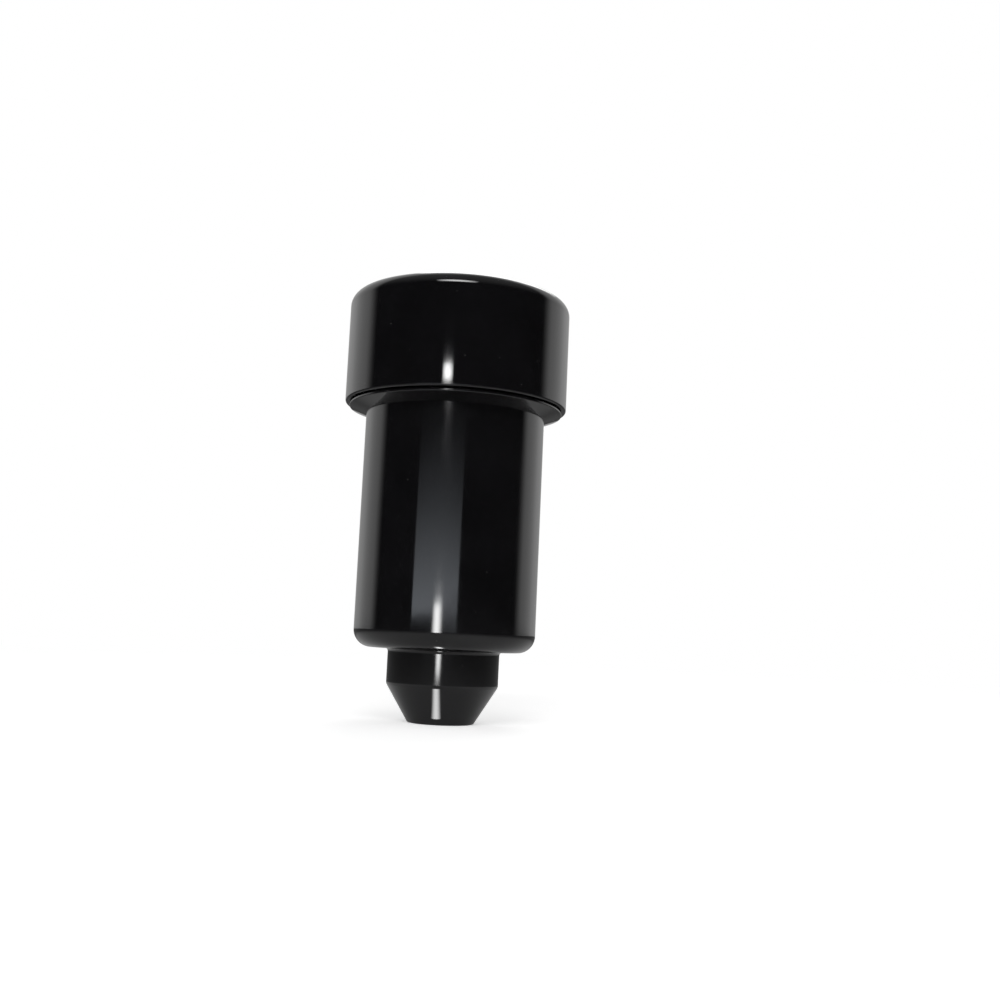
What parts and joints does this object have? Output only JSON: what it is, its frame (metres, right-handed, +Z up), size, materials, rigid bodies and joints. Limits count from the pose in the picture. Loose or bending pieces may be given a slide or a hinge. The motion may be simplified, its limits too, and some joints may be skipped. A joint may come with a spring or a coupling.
{
  "type": "sprinkler key hider",
  "caption": "Imitation pop-up sprinkler that stands in the soil and hides keys: a push-on cap with a nozzle lifts off a closed tube, with a split ring hung under it.",
  "frame": {"origin": "centre of the flat foot under the nose", "axes": "+Z up the axis of the tube towards the cap; -Y is the front, where the spray slot of the imitation nozzle faces; +X to the right"},
  "size_m": [0.0515, 0.0514, 0.1009],
  "materials": {
    "tube_plastic": "glossy black moulding",
    "cap_plastic": "glossy black moulding",
    "nozzle_plastic": "fine-grained black moulding",
    "hanger_plastic": "fine-grained black moulding",
    "seal_rubber": "soft black rubber",
    "screw_steel": "zinc-plated, turned",
    "ring_steel": "nickel-plated wire"
  },
  "bodies": {
    "ground_tube": {"ground_tube": "tube_plastic"},
    "seal": {"cap_seal": "seal_rubber"},
    "cap": {"cap_shell": "cap_plastic", "nozzle_head": "nozzle_plastic", "nozzle_screw": "screw_steel", "key_hanger": "hanger_plastic"},
    "key_ring": {"key_ring": "ring_steel"}
  },
  "joints": [
    {"name": "cap_lift", "type": "slide", "parent": "ground_tube", "child": "seal", "axis": [0, 0, 1], "range_m": [0, 0.05]},
    {"name": "cap_turn", "type": "hinge", "parent": "seal", "child": "cap", "pos_m": [0, 0, 0.0775], "axis": [0, 0, 1], "continuous": true},
    {"name": "ring_swing", "type": "hinge", "parent": "cap", "child": "key_ring", "pos_m": [0, 0, 0.0826], "axis": [1, 0, 0], "range_deg": [-44, 44]}
  ]
}
